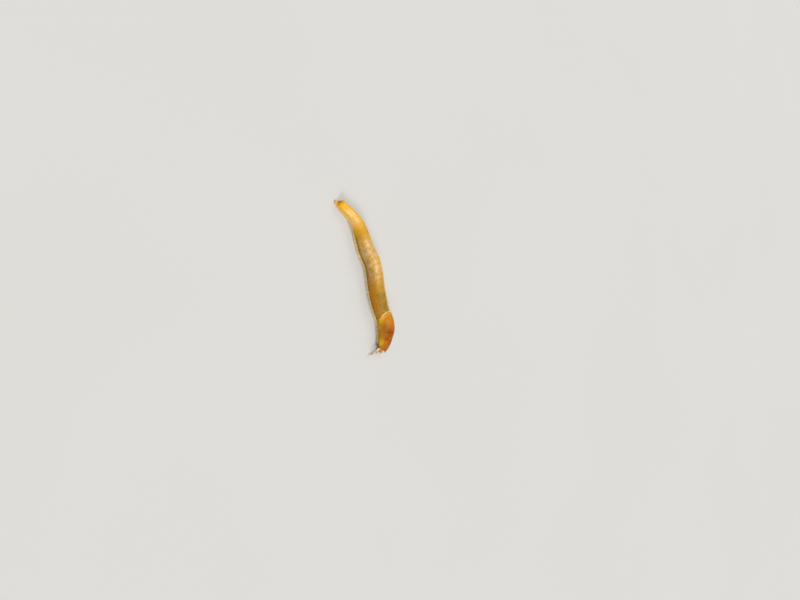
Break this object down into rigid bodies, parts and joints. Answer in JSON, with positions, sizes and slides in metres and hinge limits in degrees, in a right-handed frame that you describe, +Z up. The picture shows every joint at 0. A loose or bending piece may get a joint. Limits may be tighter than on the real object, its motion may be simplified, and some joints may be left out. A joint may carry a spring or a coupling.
{
  "type": "banana slug model",
  "caption": "Life-size still model of a crawling banana slug, stretched out, with keeled tail, fringed foot, mantle with breathing pore, drawn-in head and feelers.",
  "frame": {"origin": "on the flat sole, under the middle of the body", "axes": "+X forwards, the length from tail to head; +Y to the slug's left; +Z up"},
  "size_m": [0.1622, 0.042, 0.0143],
  "materials": {
    "back_skin": "moist, finely pebbled skin",
    "mantle_skin": "moist, fine-grained skin",
    "foot_skin": "moist, finely grooved fringe over a smooth sole",
    "feeler_skin": "moist, smooth, slightly see-through skin",
    "eye": "glossy"
  },
  "bodies": {
    "root": {"tail": "back_skin", "back_rear": "back_skin", "back_middle": "back_skin", "back_front": "back_skin", "shoulders": "back_skin", "head": "back_skin", "mantle": "mantle_skin", "foot_tail": "foot_skin", "foot_rear": "foot_skin", "foot_middle": "foot_skin", "foot_front": "foot_skin", "foot_toe": "foot_skin", "upper_tentacle_right": "feeler_skin", "upper_tentacle_left": "feeler_skin", "lower_tentacle_right": "feeler_skin", "lower_tentacle_left": "feeler_skin", "eye_right": "eye", "eye_left": "eye"}
  },
  "joints": []
}
